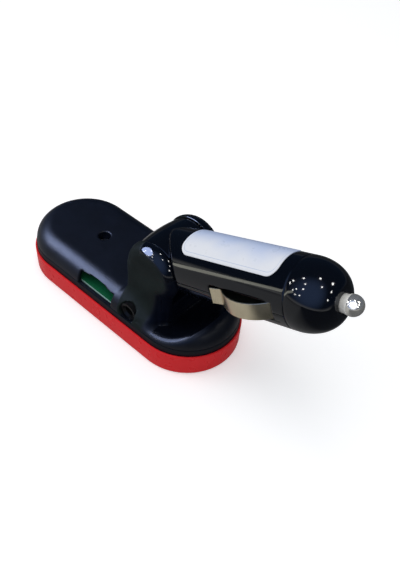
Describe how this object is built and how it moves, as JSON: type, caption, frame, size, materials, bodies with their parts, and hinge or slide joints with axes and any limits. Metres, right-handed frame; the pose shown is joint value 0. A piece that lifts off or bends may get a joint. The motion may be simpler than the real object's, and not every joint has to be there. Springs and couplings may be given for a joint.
{
  "type": "car fm transmitter",
  "caption": "Flat display housing with a memory card slot and an audio socket, on a lighter plug that swings at the housing's rear.",
  "frame": {"origin": "middle of the housing's front face, on the display window, which is the face that the housing lies on", "axes": "+X runs along the housing towards the end where the plug is hinged, +Y runs across the housing, away from the card slot, +Z points out of the housing's rear"},
  "size_m": [0.1252, 0.0374, 0.0602],
  "materials": {
    "red_plastic": "gloss, moulded",
    "black_satin": "satin, fine moulded grain",
    "black_gloss": "high gloss",
    "smoked_lens": "polished, smoked",
    "display_glass": "polished",
    "white_plastic": "satin",
    "circuit_board": "solder mask, semi-gloss",
    "chip_black": "matt epoxy",
    "capacitor_can": "sleeved can",
    "bright_steel": "plated",
    "socket_black": "satin",
    "lead_red": "insulated wire",
    "button_grey": "satin gloss",
    "label_white": "laminated film, blank",
    "brass_terminal": "plain",
    "nickel": "nickel plate",
    "fuse_glass": "clear"
  },
  "bodies": {
    "housing": {"front_bezel": "red_plastic", "front_panel": "black_gloss", "display_lens": "smoked_lens", "lcd_module": "display_glass", "lcd_backlight": "white_plastic", "main_board": "circuit_board", "board_chips": "chip_black", "board_capacitors": "capacitor_can", "tact_switches": "bright_steel", "card_socket": "bright_steel", "line_in_jack": "socket_black", "rear_cover": "black_satin", "rear_screw": "bright_steel", "hinge_pin_near": "bright_steel", "hinge_pin_far": "bright_steel", "hinge_washers": "bright_steel", "base_leads": "lead_red"},
    "play_key": {"button_play": "button_grey"},
    "previous_key": {"button_previous": "button_grey"},
    "next_key": {"button_next": "button_grey"},
    "channel_down_key": {"button_channel_down": "button_grey"},
    "channel_up_key": {"button_channel_up": "button_grey"},
    "plug": {"barrel_upper": "black_gloss", "barrel_lower": "black_gloss", "nose_cap": "black_gloss", "rating_label": "label_white", "plug_board": "circuit_board", "plug_board_parts": "chip_black", "fuse_holder": "white_plastic", "spring_terminal": "brass_terminal", "plug_leads": "lead_red", "tip_spring": "bright_steel"},
    "tip": {"tip_contact": "nickel", "fuse_caps": "nickel", "fuse_glass": "fuse_glass"},
    "clip_near": {"ground_clip_near": "nickel"},
    "clip_far": {"ground_clip_far": "nickel"}
  },
  "joints": [
    {"name": "plug_hinge", "type": "hinge", "parent": "housing", "child": "plug", "pos_m": [0.01875, 0, 0.0303], "axis": [0, -1, 0], "range_deg": [-22, 68]},
    {"name": "play_press", "type": "slide", "parent": "housing", "child": "play_key", "axis": [0, 0, 1], "range_m": [0, 0.0005], "stiffness_N_per_m": 1000},
    {"name": "previous_press", "type": "slide", "parent": "housing", "child": "previous_key", "axis": [0, 0, 1], "range_m": [0, 0.0005], "stiffness_N_per_m": 1000},
    {"name": "next_press", "type": "slide", "parent": "housing", "child": "next_key", "axis": [0, 0, 1], "range_m": [0, 0.0005], "stiffness_N_per_m": 1000},
    {"name": "channel_down_press", "type": "slide", "parent": "housing", "child": "channel_down_key", "axis": [0, 0, 1], "range_m": [0, 0.0005], "stiffness_N_per_m": 1000},
    {"name": "channel_up_press", "type": "slide", "parent": "housing", "child": "channel_up_key", "axis": [0, 0, 1], "range_m": [0, 0.0005], "stiffness_N_per_m": 1000},
    {"name": "tip_press", "type": "slide", "parent": "plug", "child": "tip", "axis": [-0.9259, 0, -0.3778], "range_m": [0, 0.001], "stiffness_N_per_m": 1500, "deforming": ["tip_spring"]},
    {"name": "clip_near_press", "type": "hinge", "parent": "plug", "child": "clip_near", "pos_m": [0.06157, -0.00875, 0.04659], "axis": [0.3778, 0, -0.9259], "range_deg": [0, 6], "stiffness_Nm_per_rad": 0.7},
    {"name": "clip_far_press", "type": "hinge", "parent": "plug", "child": "clip_far", "pos_m": [0.06157, 0.00875, 0.04659], "axis": [-0.3778, 0, 0.9259], "range_deg": [0, 6], "stiffness_Nm_per_rad": 0.7}
  ]
}
